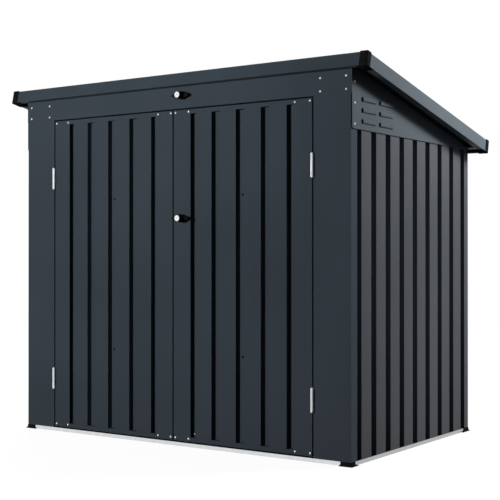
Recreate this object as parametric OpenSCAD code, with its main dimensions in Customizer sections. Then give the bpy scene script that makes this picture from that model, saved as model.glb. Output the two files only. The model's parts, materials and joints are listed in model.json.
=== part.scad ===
// Metal bin store with a pent roof that lifts as a lid, two front doors and two key locks.
// Millimetres. The doors face -Y, +Z is up and the feet stand on z = 0.
// Plans are drawn with the front face of the posts on y = 0. stand() then moves the
// model so that the origin is in the middle of its whole footprint.

/* [Cabinet] */
// Width over the side walls
cabinet_w = 1430; // [1240:10:1800]
// Depth over the posts, front to rear
cabinet_d = 899; // [740:1:1090]
// Height of the wall tops at the front face
front_h = 1265.5; // [1050:0.5:1500]
// Fall of the roof towards the rear, in degrees
roof_fall = 12.02; // [9:0.01:13]
// Thickness of the pressed steel sheet
sheet_t = 1; // [0.8:0.1:1.2]

/* [Base] */
// Height of the feet and of the top of the base rails
base_h = 14; // [12:1:20]
// Width of a base rail, seen from above
base_rail_w = 30; // [24:1:36]
// Space between the ground and the underside of a base rail
base_rail_lift = 1; // [0.5:0.5:2]
// Length of a foot along the front or rear
foot_l = 40; // [30:1:44]
// Length of a front foot along the side
foot_d = 28; // [22:1:34]
// Length of a rear foot along the side
rear_foot_d = 44; // [22:1:50]
// How far a foot stands proud of the posts
foot_proud = 1.5; // [1:0.5:3]
// How far the skirt at the bottom of a foot flares out
foot_flare = 4.5; // [1:0.5:6]
// How far that skirt runs on along the side rail
foot_toe = 13; // [4:1:16]
// Height of that skirt
foot_skirt_h = 6; // [3:0.5:8]
// Height of that skirt's upright edge
foot_edge_h = 1.5; // [1:0.5:2]

/* [Posts] */
// Width of a front post, seen from the front
front_post_w = 138.5; // [110:0.5:160]
// Depth of a front post, seen from the side
front_post_d = 39.5; // [34:0.5:50]
// Width of a rear post, seen from the rear
rear_post_w = 100; // [60:1:130]
// Depth of a rear post, seen from the side
rear_post_d = 34; // [28:1:50]
// How far a post's lip laps over the edge of a ribbed sheet
lap = 12; // [8:1:16]
// Depth of the door jamb behind the front face
jamb_d = 30; // [30:1:40]
// Width of the stop strip behind the door edge
stop_w = 14; // [11:1:18]
// Height over which a front post's face steps back behind the header
joggle_h = 3; // [2:1:6]

/* [Ribbed sheets] */
// Depth of the grooves between ribs
groove_d = 17; // [12:1:20]
// Sideways run of a groove's slanting wall
groove_run = 3.7; // [2:0.1:6]
// Width of a rib on the side and rear walls
wall_rib = 65; // [50:0.5:80]
// Width of a groove's mouth on the side and rear walls
wall_gap = 34.8; // [25:0.1:50]
// Distance from a front post to the first rib on the side wall
side_edge = 28; // [20:1:34]
// Least flat between the last rib of a sheet and the post or stile beside it
sheet_edge = 16; // [16:1:20]
// How far the side sheets reach up behind the gables
side_sheet_lap = 5; // [3:1:10]
// Width of the studs behind the seams between two sheets
stud_w = 40; // [30:1:50]
// Depth of those studs
stud_d = 15; // [10:1:20]
// Width of the studs' folded edge
stud_lip = 10; // [6:1:14]

/* [Header] */
// Height of the header panel over the doors
header_h = 85.3; // [70:0.1:100]
// Depth of its turned-in top flange
header_flange = 12; // [8:1:14]
// How far its lower lip hangs behind the doors
header_stop = 15; // [10:1:20]
// Width of the rail across the top of the rear wall
rear_rail_w = 55; // [40:1:70]
// Height of that rail's front flange
rear_rail_h = 20; // [14:1:26]

/* [Gables] */
// How far a gable plate stands proud of the side wall
gable_proud = 4; // [3:0.5:6]
// How far a gable plate laps below the top of the rear wall
gable_lap = 5.6; // [5:0.1:12]
// Distance from the rear face to a gable plate's rear end
gable_inset = 3.5; // [2:0.5:8]
// Radius of the lower front corner of a gable plate
gable_r = 12; // [8:1:22]
// Width of its turned-in top flange
gable_flange = 29; // [24:1:34]
// Length of a louvre
louvre_l = 88.5; // [70:0.5:110]
// Height of a louvre
louvre_h = 15; // [12:1:18]
// How far a louvre is pressed out
louvre_out = 5; // [3:0.5:7]
// Distance from one row of louvres to the next
louvre_pitch = 35.2; // [30:0.1:40]
// Height of the lowest louvres above a gable plate's lower edge
louvre_z = 20; // [14:1:24]
// Space between the two columns of louvres
louvre_space = 29.5; // [15:0.5:40]
// Front end of the louvres, measured from the front face
louvre_y = 65.5; // [60:0.5:90]
// Rows of louvres
louvre_rows = 3; // [1:1:3]

/* [Doors] */
// Space round each door
door_gap = 5; // [5:0.5:8]
// Thickness of a door
door_t = 24; // [22:1:24]
// Width of a door's upright stiles
stile_w = 74.5; // [60:0.5:90]
// Height of a door's top and bottom rails
door_rail_h = 15; // [14:1:40]
// Width of a rib on a door
door_rib = 67.5; // [50:0.5:80]
// Width of a groove's mouth on a door
door_groove = 34.5; // [25:0.5:45]
// Width of the folded inner edge round a door
door_lip = 15; // [10:1:20]
// Height of the cross braces inside a door
brace_h = 30; // [20:1:40]
// Distance of the braces from the door's bottom and top
brace_inset = 305; // [200:5:400]

/* [Hinges] */
// Length of a hinge
hinge_l = 77.5; // [60:0.5:100]
// Outer diameter of a hinge's knuckles
knuckle_d = 10; // [9:0.5:10]
// Diameter of a hinge's pin
hinge_pin_d = 5; // [4:0.5:5]
// Thickness of a hinge's leaves
leaf_t = 1.5; // [1:0.5:1.5]
// How far a leaf reaches back along the door's edge
leaf_w = 27; // [20:1:27]
// Space between one knuckle and the next
knuckle_gap = 0.3; // [0.2:0.1:0.5]
// Height of the lower hinges' middle above the door's bottom
hinge_low = 182; // [100:1:250]
// Distance of the upper hinges' middle below the door's top
hinge_high = 217; // [100:1:250]
// Radial clearance of a pin in its bore
fit = 0.05; // [0.02:0.01:0.1]

/* [Locks] */
// Length of the grip across its tips
grip_l = 81; // [60:1:90]
// Diameter of the grip's round middle
grip_d = 29; // [26:1:32]
// Height that the grip's tapering arms would have on its axis
grip_arm_h = 28; // [20:1:28]
// Height of the grip's rounded tips
grip_tip_h = 7; // [6:0.5:12]
// Thickness of the grip
grip_t = 8; // [6:1:12]
// Diameter of the round foot of the grip
grip_foot_d = 26; // [22:1:28]
// How far the grip's front stands out from the door
grip_out = 16; // [12:1:18]
// How far the key cylinder's face stands out from the door
cylinder_out = 36; // [28:1:40]
// Diameter of the barrel round the key cylinder
barrel_d = 24; // [22:0.5:26]
// Diameter of the key cylinder's head
cylinder_d = 20.5; // [18:0.5:21]
// Thickness of that head
cylinder_head_t = 5; // [4:0.5:8]
// Diameter of the cylinder where it runs in the grip
spindle_d = 14; // [12:1:16]
// Thickness of the sleeve round the cylinder, which passes through the panel
sleeve_t = 4; // [3:0.5:4]
// Length of that sleeve behind the panel's face
sleeve_l = 12; // [10:1:12]
// Radial clearance of the sleeve in the panel's hole
sleeve_gap = 0.2; // [0.1:0.1:0.5]
// Space round the cylinder's head in its barrel
head_gap = 0.3; // [0.2:0.1:0.5]
// Length of the keyhole
keyhole_l = 8; // [6:0.5:10]
// Width of the keyhole
keyhole_w = 1.5; // [1:0.1:2.5]
// Depth of the keyhole
keyhole_d = 3; // [2:0.5:6]
// Height of the door lock above the door's bottom
door_lock_h = 777; // [600:1:900]
// Height of the lid lock above the header's lower edge
lid_lock_h = 44; // [40:0.5:50]
// Distance of both locks from the right door's meeting edge
lock_inset = 42; // [38:1:44]
// Length of the cams
cam_l = 55; // [48:1:60]
// Width of the cams
cam_w = 14; // [12:1:18]
// Thickness of the cams
cam_t = 2.5; // [2:0.5:4]
// Length of the lid lock's cam
lid_cam_l = 36; // [30:1:38]
// Space that a cam keeps to the sheets, the sleeve and the keeper round it
cam_gap = 7; // [6:0.5:8]
// Width of the hook that the lid lock's cam holds down
keeper_w = 30; // [20:1:34]
// Thickness of that hook
keeper_t = 1.5; // [1.5:0.5:3]

/* [Roof] */
// Height of the roof's top face above the wall tops
roof_lift = 35; // [33:0.5:45]
// How far the roof stands out past each side
roof_side = 66.4; // [50:0.1:90]
// How far its top edge stands out past the front
roof_front = 12; // [12:0.5:30]
// How far its top edge stands out past the rear
roof_rear = 41.2; // [40:0.1:60]
// Depth of the roof's edge rails
roof_rail_h = 44.35; // [40:0.05:48]
// Width of the rails' top flange
roof_flange = 25; // [20:1:26]
// Width of the bottom lip of the front rail
roof_front_lip = 16; // [10:0.5:16]
// Width of the bottom lip of the side rails
roof_side_lip = 24; // [16:1:32]
// Width of the bottom lip of the rear rail
roof_rear_lip = 8; // [6:1:8]
// Ribs on each half of the roof
roof_ribs = 7; // [5:1:8]
// Width of a roof rib
roof_rib = 65.5; // [50:0.5:70]
// Depth of the roof's grooves
roof_groove_d = 11; // [8:1:11]
// Width of the brace under the roof's middle seam
roof_brace_w = 36; // [24:1:38]
// Depth of that brace
roof_brace_d = 12; // [8:1:12]
// Length of the corner caps' front legs
cap_l = 26; // [20:1:40]
// Length of the corner caps' side legs
cap_side_l = 22; // [18:1:40]
// Width of the plate under a corner cap, seen from the front
cap_plate_w = 35; // [26:1:45]
// Length of that plate along the side
cap_plate_l = 45; // [26:1:50]
// Thickness of the corner caps
cap_t = 2.5; // [1.5:0.1:3]
// Radius of the corner caps' upright edge
cap_r = 4; // [3:0.5:6]

/* [Lid pivot] */
// Diameter of the rod that the lid turns on
pivot_d = 10; // [8:1:10]
// Distance of the rod's axis from the rear face
pivot_out = 20; // [19:0.5:22]
// Depth of the rod's axis below the roof's top face
pivot_drop = 27.5; // [27:0.1:30]
// Width of the brackets that carry the rod
bracket_w = 40; // [30:1:50]
// Height of the brackets' plates
bracket_h = 50; // [40:1:70]
// Thickness of the brackets' plates
bracket_t = 1.5; // [1:0.5:2]
// Thickness of the arms that carry the brackets' eyes
bracket_arm_t = 4; // [3:0.5:6]
// Outer diameter of the brackets' eyes
eye_d = 16; // [14:1:17]

/* [Hidden] */
$fn = 64;
// How far a cutting shape reaches past what it cuts, and how far a roof-wide one does
cut = 1;
wide_cut = 50;
half_w = cabinet_w / 2;
jamb_x = half_w - front_post_w;
door_w = (2 * jamb_x - 3 * door_gap) / 2;
door_z0 = base_h + door_gap;
header_z0 = front_h - header_h;
door_h = header_z0 - door_gap - door_z0;
hinge_x = jamb_x - door_gap / 2;
hinge_y = -knuckle_d / 2;
groove_x = half_w - groove_d;
groove_y = cabinet_d - groove_d;
wall_pitch = wall_rib + wall_gap;
side_end_y = cabinet_d - rear_post_d;
// Each side wall and the rear wall have two sheets, with as many ribs as there is room for
side_room = side_end_y - front_post_d - side_edge - sheet_edge + wall_gap;
side_sheet_ribs = floor(side_room / wall_pitch / 2);
side_seam_y = front_post_d + side_edge + side_sheet_ribs * wall_pitch - wall_gap / 2;
rear_sheet_w = half_w - rear_post_w;
rear_sheet_ribs = floor((rear_sheet_w + wall_gap / 2 - sheet_edge) / wall_pitch);
door_sheet_w = door_w - 2 * stile_w;
door_ribs = floor((door_sheet_w - 2 * sheet_edge + door_groove) / (door_rib + door_groove));
door_edge = (door_sheet_w - door_ribs * door_rib - (door_ribs - 1) * door_groove) / 2;
gable_z0 = wall_top(cabinet_d) - gable_lap;
// A sheet that follows the roof's fall is this thick, measured upright
sloped_t = sheet_t / cos(roof_fall);
gable_flange_x = half_w + gable_proud - gable_flange;
gable_flange_y = header_flange + 3 * sheet_t;
roof_half_w = half_w + roof_side;
roof_l = (roof_front + cabinet_d + roof_rear) / cos(roof_fall);
roof_gap = (roof_half_w - sheet_t) / roof_ribs - roof_rib;
brace_top = roof_groove_d + 2 * sheet_t;
pivot_y = cabinet_d + pivot_out;
pivot_z = roof_top(pivot_y) - pivot_drop;
lock_x = door_gap / 2 + lock_inset;
door_lock_z = door_z0 + door_lock_h;
lid_lock_z = header_z0 + lid_lock_h;
sleeve_d = spindle_d + 2 * sleeve_t;
door_cam_y = door_t + cam_gap - sheet_t;
lid_cam_y = header_flange + sheet_t + cam_gap;
keeper_y = lid_cam_y + cam_t + cam_gap;
keeper_z = lid_lock_z - cam_w / 2 - cam_gap;
knuckle_l = (hinge_l - 2 * knuckle_gap) / 3;
// A leaf starts this far behind the knuckles of the other leaf
leaf_y = knuckle_d / 2 + 2 * knuckle_gap;
rear_end_y = (roof_l + cap_t) * cos(roof_fall) + cap_t * sin(roof_fall) - roof_front;
mid_y = (rear_end_y - cylinder_out) / 2;

// ---- Heights of the sloping planes ----
function wall_top(y) = front_h - y * tan(roof_fall);
function roof_top(y) = wall_top(y) + roof_lift;

// ---- Folded sheet: a path along one face and its mitred copy a sheet's thickness away ----
function left_of(a, b) = [a[1] - b[1], b[0] - a[0]] / norm(b - a);
function beside(p, i, t) =
    i == 0 ? p[0] + t * left_of(p[0], p[1]) :
    i == len(p) - 1 ? p[i] + t * left_of(p[i - 1], p[i]) :
    let (a = left_of(p[i - 1], p[i]), b = left_of(p[i], p[i + 1]))
    p[i] + t * (a + b) / (1 + a * b);
module folded(path, t) polygon(concat(path, [for (i = [len(path) - 1:-1:0]) beside(path, i, t)]));

// Face of a ribbed sheet, from x = 0 to w: its ribs on y = 0 and its grooves on y = depth
function ribs_path(w, first, rib, gap, count, depth, start, end) = concat(
    [[-start, depth]],
    [for (i = [0:count - 1], k = [0:3])
        [first + i * (rib + gap) + [-groove_run, 0, rib, rib + groove_run][k], [depth, 0, 0, depth][k]]],
    [[w + end, depth]]);

// ---- Placing ----
module stand() translate([0, -mid_y, 0]) children();
module along_x(a, b) translate([a, 0, 0]) rotate([90, 0, 90]) linear_extrude(b - a) children();
module along_y(a, b) translate([0, b, 0]) rotate([90, 0, 0]) linear_extrude(b - a) children();
module along_z(a, b) translate([0, 0, a]) linear_extrude(b - a) children();
module facing_front(z) translate([0, 0, z]) rotate([90, 0, 0]) children();
module mirrored_pair() {
    children();
    mirror([1, 0, 0]) children();
}
module left_hand() mirror([1, 0, 0]) children();
// Roof frame: x across, y down the slope from the front edge, z square to the top face
module on_roof() translate([0, -roof_front, roof_top(-roof_front)]) rotate([-roof_fall, 0, 0]) children();
module below_wall_top(drop) polygon([[-wide_cut, 0], [cabinet_d + wide_cut, 0],
    [cabinet_d + wide_cut, wall_top(cabinet_d + wide_cut) - drop], [-wide_cut, wall_top(-wide_cut) - drop]]);
module under_wall_top(drop) intersection() {
    children();
    along_x(-half_w - wide_cut, half_w + wide_cut) below_wall_top(drop);
}

// ---- Base ----
module base_rail_profile() folded([[base_rail_w, base_h], [0, base_h],
    [0, base_rail_lift], [base_rail_w, base_rail_lift]], sheet_t);
module base_rail_front() color("gainsboro") stand()
    along_x(foot_l - foot_proud - half_w, half_w - foot_l + foot_proud) base_rail_profile();
module base_rail_rear() color("gainsboro") stand() translate([0, cabinet_d, 0]) mirror([0, 1, 0])
    along_x(foot_l - foot_proud - half_w, half_w - foot_l + foot_proud) base_rail_profile();
module base_rails_side() color("gainsboro") stand() mirrored_pair()
    translate([half_w, 0, 0]) mirror([1, 0, 0])
        along_y(foot_d - foot_proud, cabinet_d - rear_foot_d + foot_proud) base_rail_profile();

// Upright section of a foot's skirt round a body that reaches from a to b
module skirt_profile(a, b, flare_a, flare_b) polygon([[a - flare_a, 0], [b + flare_b, 0],
    [b + flare_b, foot_edge_h], [b, foot_skirt_h], [a, foot_skirt_h], [a - flare_a, foot_edge_h]]);
module foot(d) {
    inner_x = half_w + foot_proud - foot_l;
    inner_y = d - foot_proud;
    translate([inner_x, -foot_proud, 0]) cube([foot_l, d, base_h]);
    difference() {
        intersection() {
            along_x(inner_x - foot_flare, half_w + foot_l)
                skirt_profile(-foot_proud, inner_y, foot_flare, foot_toe);
            along_y(-foot_l, d + foot_toe)
                skirt_profile(inner_x, half_w + foot_proud, foot_flare, foot_flare);
        }
        // The skirt runs on outside the rails only
        translate([half_w - 2 * foot_l, 0, -cut]) cube([foot_l + foot_proud, d + foot_l, base_h]);
        translate([half_w - 2 * foot_l, inner_y, -cut]) cube([2 * foot_l, foot_l, base_h]);
    }
}
module base_feet() color("black") stand() mirrored_pair() {
    foot(foot_d);
    translate([0, cabinet_d, 0]) mirror([0, 1, 0]) foot(rear_foot_d);
}

// ---- Corner posts ----
function front_post_path(x, y) = [[x, y], [half_w, y], [half_w, front_post_d],
    [groove_x, front_post_d], [groove_x, front_post_d - lap]];
module front_post() under_wall_top(sloped_t) {
    along_z(base_h, header_z0) folded(concat([[jamb_x - stop_w, jamb_d - sheet_t],
        [jamb_x, jamb_d - sheet_t]], front_post_path(jamb_x, 0)), sheet_t);
    // The jamb stops below the header, and the post's face steps back behind it
    along_z(header_z0 - joggle_h, front_h) folded(front_post_path(jamb_x + 2 * sheet_t, sheet_t), sheet_t);
}
module rear_post() under_wall_top(sloped_t) along_z(base_h, front_h)
    folded([[groove_x, side_end_y + lap], [groove_x, side_end_y], [half_w, side_end_y],
        [half_w, cabinet_d], [half_w - rear_post_w, cabinet_d], [half_w - rear_post_w, groove_y],
        [half_w - rear_post_w + lap, groove_y]], sheet_t);
module corner_post_front_right() color("#3c4248") stand() front_post();
module corner_post_front_left() color("#3c4248") stand() left_hand() front_post();
module corner_post_rear_right() color("#3c4248") stand() rear_post();
module corner_post_rear_left() color("#3c4248") stand() left_hand() rear_post();

// ---- Header and rear top rail ----
module header_panel() color("#3c4248") stand() difference() {
    along_x(-half_w - gable_proud, half_w + gable_proud)
        folded([[jamb_d - sheet_t, header_z0 - header_stop], [jamb_d - sheet_t, header_z0],
            [0, header_z0], [0, front_h], [header_flange, wall_top(header_flange)]], -sheet_t);
    mirrored_pair() {
        // The lower lip hangs between the jambs, and the lower flange ends over them
        translate([jamb_x - stop_w - door_gap, 0, header_z0 - header_stop - cut])
            cube([half_w, jamb_d + cut, header_stop + cut]);
        translate([jamb_x + sheet_t, sheet_t, header_z0 - cut])
            cube([half_w, jamb_d, 2 * sheet_t + cut]);
        // Only the face reaches out in front of the gables
        translate([half_w, sheet_t, header_z0 - cut])
            cube([2 * gable_proud, jamb_d, header_h + 2 * cut]);
    }
    lock_hole(lid_lock_z);
}
module rear_top_rail() color("#3c4248") stand() along_x(-gable_flange_x, gable_flange_x)
    folded([[cabinet_d, wall_top(cabinet_d)], [cabinet_d - rear_rail_w, wall_top(cabinet_d - rear_rail_w)],
        [cabinet_d - rear_rail_w, wall_top(cabinet_d - rear_rail_w) - rear_rail_h]], sheet_t);

// ---- Side and rear sheets ----
module wall_ribs(w, first, count, start, end)
    folded(ribs_path(w, first, wall_rib, wall_gap, count, groove_d, start, end), sheet_t);
module side_sheet(y0, first, w, start, end)
    translate([half_w, y0, 0]) rotate([0, 0, 90])
        along_z(base_h, gable_z0 + side_sheet_lap) wall_ribs(w, first, side_sheet_ribs, start, end);
module side_front() side_sheet(front_post_d, side_edge, side_seam_y - front_post_d, lap, 0);
module side_rear() side_sheet(side_seam_y, wall_gap / 2, side_end_y - side_seam_y, 0, lap);
module side_sheet_right_front() color("#5a5e63") stand() side_front();
module side_sheet_right_rear() color("#5a5e63") stand() side_rear();
module side_sheet_left_front() color("#5a5e63") stand() left_hand() side_front();
module side_sheet_left_rear() color("#5a5e63") stand() left_hand() side_rear();

module rear_half() translate([0, cabinet_d, 0]) rotate([0, 0, 180])
    along_z(base_h, wall_top(cabinet_d) - sloped_t)
        wall_ribs(rear_sheet_w, wall_gap / 2, rear_sheet_ribs, 0, lap);
module rear_sheet_left() color("#5a5e63") stand() rear_half();
module rear_sheet_right() color("#5a5e63") stand() left_hand() rear_half();

module stud_profile() folded([[-stud_w / 2, 0], [stud_w / 2, 0], [stud_w / 2, stud_d],
    [stud_w / 2 - stud_lip, stud_d]], sheet_t);
module wall_studs() color("gainsboro") stand() under_wall_top(sloped_t) {
    mirrored_pair() translate([groove_x - sheet_t, side_seam_y, 0]) rotate([0, 0, 90])
        along_z(base_h, front_h) stud_profile();
    translate([0, groove_y - sheet_t, 0]) rotate([0, 0, 180])
        along_z(base_h, wall_top(groove_y)) stud_profile();
}

// ---- Gables ----
// Outline of a gable tray from y = front, with its lower front corner rounded
module gable_outline(front, inset) difference() {
    polygon([[front, gable_z0 + inset], [cabinet_d - gable_inset - inset, gable_z0 + inset],
        [cabinet_d - gable_inset - inset, wall_top(cabinet_d - gable_inset - inset) - inset],
        [front, wall_top(front) - inset]]);
    translate([0, gable_z0 - sheet_t]) difference() {
        square(gable_r + sheet_t);
        translate([gable_r + sheet_t, gable_r + sheet_t]) circle(gable_r - inset);
    }
}
// A louvre is a strip cut free along its two ends and pressed out, rounded along its top and foot
module bridge_outline(r, h) intersection() {
    union() {
        for (z = [r, h - r]) translate([0, z]) circle(r);
        translate([0, r]) square([r, h - 2 * r]);
    }
    square([r, h]);
}
module louvre() translate([half_w + gable_proud, 0, 0]) along_y(0, louvre_l) {
    difference() {
        bridge_outline(louvre_out, louvre_h);
        translate([0, sheet_t]) bridge_outline(louvre_out - sheet_t, louvre_h - 2 * sheet_t);
    }
    for (z = [0, louvre_h - sheet_t]) translate([-sheet_t, z]) square(sheet_t);
}
module each_louvre() for (row = [0:louvre_rows - 1], col = [0:1])
    translate([0, louvre_y + col * (louvre_l + louvre_space), gable_z0 + louvre_z + row * louvre_pitch])
        children();
module gable() {
    difference() {
        along_x(half_w, half_w + gable_proud) gable_outline(sheet_t, 0);
        // The tray is open at the front
        along_x(half_w - cut, half_w + gable_proud - sheet_t) gable_outline(sheet_t, sheet_t);
        each_louvre() translate([half_w, 0, sheet_t])
            cube([2 * gable_proud, louvre_l, louvre_h - 2 * sheet_t]);
    }
    each_louvre() louvre();
    // Top flange, behind the header's
    under_wall_top(0) difference() {
        translate([gable_flange_x, gable_flange_y, 0])
            cube([gable_flange, cabinet_d - gable_inset - gable_flange_y, front_h]);
        along_x(half_w - gable_flange, half_w + gable_proud + cut) below_wall_top(sloped_t);
    }
}
module gable_right() color("#5a5f64") stand() gable();
module gable_left() color("#5a5f64") stand() left_hand() gable();

// ---- Hinges ----
function hinge_heights() = [door_z0 + hinge_low, door_z0 + door_h - hinge_high];
module on_hinge_line() for (z = hinge_heights()) translate([hinge_x, hinge_y, z - hinge_l / 2]) children();
// The post's leaf lies at the jamb and the door's leaf at the door's edge
function leaf_x(on_post) = on_post ? door_gap / 2 - leaf_t : -door_gap / 2;
module leaf(on_post) translate([leaf_x(on_post), leaf_y, 0]) cube([leaf_t, leaf_w - leaf_y, hinge_l]);
module knuckle(z, on_post) {
    along_z(z, z + knuckle_l) circle(d = knuckle_d);
    translate([leaf_x(on_post), 0, z]) cube([leaf_t, leaf_y + leaf_t, knuckle_l]);
}
module post_hinge() {
    leaf(true);
    for (z = [0, 2 * (knuckle_l + knuckle_gap)]) knuckle(z, true);
    cylinder(d = hinge_pin_d, h = hinge_l);
}
module door_hinge() difference() {
    union() {
        leaf(false);
        knuckle(knuckle_l + knuckle_gap, false);
    }
    cylinder(d = hinge_pin_d + 2 * fit, h = hinge_l);
}
module post_hinges() color("silver") stand() mirrored_pair() on_hinge_line() post_hinge();
module door_right_hinges() color("silver") stand() on_hinge_line() door_hinge();
module door_left_hinges() color("silver") stand() left_hand() on_hinge_line() door_hinge();

// ---- Doors: drawn as the right-hand door, from its meeting edge at x = door_gap / 2 ----
module stile_profile() folded([[door_lip, door_t], [0, door_t], [0, 0], [stile_w, 0],
    [stile_w, groove_d], [stile_w - lap, groove_d]], sheet_t);
module door_rail_profile() folded([[door_lip, door_t], [0, door_t], [0, 0], [door_rail_h, 0],
    [door_rail_h, groove_d + sheet_t], [door_rail_h - lap, groove_d + sheet_t]], sheet_t);
module at_door() translate([door_gap / 2, 0, door_z0]) children();
module stiles(lock) difference() {
    at_door() {
        along_z(0, door_h) stile_profile();
        translate([door_w, 0, 0]) mirror([1, 0, 0]) along_z(0, door_h) stile_profile();
    }
    if (lock) lock_hole(door_lock_z);
}
module door_rails() at_door() {
    along_x(stile_w, door_w - stile_w) rotate(90) mirror([0, 1]) door_rail_profile();
    translate([0, 0, door_h]) mirror([0, 0, 1])
        along_x(stile_w, door_w - stile_w) rotate(90) mirror([0, 1]) door_rail_profile();
}
module door_sheet() at_door() translate([stile_w, 0, 0]) along_z(door_rail_h, door_h - door_rail_h)
    folded(ribs_path(door_sheet_w, door_edge, door_rib, door_groove, door_ribs, groove_d, lap, lap), sheet_t);
module door_braces() at_door() for (z = [brace_inset, door_h - brace_inset])
    translate([door_lip + sheet_t, groove_d + sheet_t, z - brace_h / 2])
        cube([door_w - 2 * door_lip - 2 * sheet_t, door_t - groove_d - sheet_t, brace_h]);

module door_right_stiles() color("#3c4248") stand() stiles(true);
module door_right_rails() color("#3c4248") stand() door_rails();
module door_right_sheet() color("#3c4248") stand() door_sheet();
module door_right_braces() color("gainsboro") stand() door_braces();
module door_left_stiles() color("#3c4248") stand() left_hand() stiles(false);
module door_left_rails() color("#3c4248") stand() left_hand() door_rails();
module door_left_sheet() color("#3c4248") stand() left_hand() door_sheet();
module door_left_braces() color("gainsboro") stand() left_hand() door_braces();

// ---- Locks: drawn on their axis, which points to the front as +z from the panel's face ----
module lock_at(z) translate([lock_x, 0, 0]) facing_front(z) children();
module lock_hole(z) lock_at(z) cylinder(d = sleeve_d + 2 * sleeve_gap, h = 4 * sheet_t, center = true);
module grip_outline() {
    circle(d = grip_d);
    tip_x = (grip_l - grip_tip_h) / 2;
    polygon([[0, grip_arm_h / 2], [tip_x, grip_tip_h / 2], [tip_x, -grip_tip_h / 2],
        [0, -grip_arm_h / 2], [-tip_x, -grip_tip_h / 2], [-tip_x, grip_tip_h / 2]]);
    for (x = [-tip_x, tip_x]) translate([x, 0]) circle(d = grip_tip_h);
}
module grip() difference() {
    union() {
        translate([0, 0, grip_out - grip_t]) linear_extrude(grip_t) grip_outline();
        translate([0, 0, grip_out]) cylinder(d = barrel_d, h = cylinder_out - grip_out);
        cylinder(d = grip_foot_d, h = grip_out - grip_t);
        translate([0, 0, -sleeve_l]) cylinder(d = sleeve_d, h = sleeve_l);
    }
    translate([0, 0, -sleeve_l - cut])
        cylinder(d = spindle_d + 2 * fit, h = sleeve_l + cylinder_out + 2 * cut);
    translate([0, 0, cylinder_out - cylinder_head_t - head_gap])
        cylinder(d = cylinder_d + 2 * head_gap, h = cylinder_head_t + cut);
}
module key_cylinder(cam_y) difference() {
    union() {
        translate([0, 0, cylinder_out - cylinder_head_t]) cylinder(d = cylinder_d, h = cylinder_head_t);
        translate([0, 0, -cam_y]) cylinder(d = spindle_d, h = cam_y + cylinder_out - cylinder_head_t);
    }
    translate([-keyhole_l / 2, -keyhole_w / 2, cylinder_out - keyhole_d])
        cube([keyhole_l, keyhole_w, keyhole_d + cut]);
}
module cam(cam_y, l) translate([0, 0, -cam_y - cam_t]) linear_extrude(cam_t) {
    circle(d = sleeve_d - sleeve_t);
    translate([-cam_w / 2, 0]) square([cam_w, l - cam_w / 2]);
    translate([0, l - cam_w / 2]) circle(d = cam_w);
}
module door_lock_grip() color("black") stand() lock_at(door_lock_z) grip();
module door_lock_cylinder() color("silver") stand() lock_at(door_lock_z) key_cylinder(door_cam_y);
module door_lock_cam() color("gainsboro") stand() lock_at(door_lock_z) cam(door_cam_y, cam_l);
module lid_lock_grip() color("black") stand() lock_at(lid_lock_z) grip();
module lid_lock_cylinder() color("silver") stand() lock_at(lid_lock_z) key_cylinder(lid_cam_y);
module lid_lock_cam() color("gainsboro") stand() lock_at(lid_lock_z) cam(lid_cam_y, lid_cam_l);

// Hook that hangs from the roof brace beside the lid lock's cam, which swings over it
module lid_lock_keeper() color("gainsboro") stand() intersection() {
    translate([lock_x - cam_w / 2 - cam_gap - keeper_w, 0, 0]) along_x(0, keeper_w)
        folded([[lid_cam_y - sheet_t, keeper_z], [keeper_y, keeper_z],
            [keeper_y, front_h + roof_lift]], -keeper_t);
    on_roof() translate([-half_w, 0, -roof_rail_h - header_h])
        cube([cabinet_w, cabinet_d, roof_rail_h + header_h - brace_top - roof_brace_d]);
}

// ---- Roof ----
module rail_profile(lip) folded([[roof_flange, 0], [0, 0], [0, -roof_rail_h], [lip, -roof_rail_h]], sheet_t);
module roof_rail_front() color("#44525a") stand() on_roof()
    along_x(sheet_t - roof_half_w, roof_half_w - sheet_t) rail_profile(roof_front_lip);
module roof_rail_rear() color("#44525a") stand() on_roof() translate([0, roof_l, 0]) mirror([0, 1, 0])
    along_x(sheet_t - roof_half_w, roof_half_w - sheet_t) rail_profile(roof_rear_lip);
module roof_rails_side() color("#6c7076") stand() on_roof() mirrored_pair() difference() {
    translate([roof_half_w, 0, 0]) mirror([1, 0, 0]) along_y(0, roof_l) rail_profile(roof_side_lip);
    // The flanges stop at the front and rear rails
    for (y = [-cut, roof_l - roof_flange])
        translate([roof_half_w - sheet_t - roof_flange, y, -roof_rail_h - cut])
            cube([roof_flange, roof_flange + cut, roof_rail_h + 2 * cut]);
}
// Plan of a corner cap, w along the front and l along the side, with its upright edge rounded
module cap_plan(w, l) translate([roof_half_w + cap_t, -cap_t]) {
    translate([-w - cap_t, cap_r]) square([w + cap_t, l + cap_t - cap_r]);
    translate([-w - cap_t, 0]) square([w + cap_t - cap_r, 2 * cap_r]);
    translate([-cap_r, cap_r]) circle(cap_r);
}
module roof_cap() difference() {
    translate([0, 0, -roof_rail_h - cap_t]) {
        linear_extrude(roof_rail_h + 2 * cap_t) cap_plan(cap_l, cap_side_l);
        linear_extrude(cap_t) cap_plan(cap_plate_w, cap_plate_l);
    }
    translate([roof_half_w - cap_l - cut, 0, -roof_rail_h])
        cube([cap_l + cut, cap_side_l + cut, roof_rail_h]);
}
module roof_caps() color("black") stand() on_roof() mirrored_pair() {
    roof_cap();
    translate([0, roof_l, 0]) mirror([0, 1, 0]) roof_cap();
}
module roof_half() translate([0, sheet_t, -sheet_t]) rotate([-90, 0, 0])
    linear_extrude(roof_l - 2 * sheet_t)
        folded(ribs_path(roof_half_w - sheet_t, roof_gap / 2, roof_rib, roof_gap, roof_ribs,
            roof_groove_d, 0, 0), sheet_t);
module roof_sheet_right() color("#4a5258") stand() on_roof() roof_half();
module roof_sheet_left() color("#4a5258") stand() on_roof() left_hand() roof_half();
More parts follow.
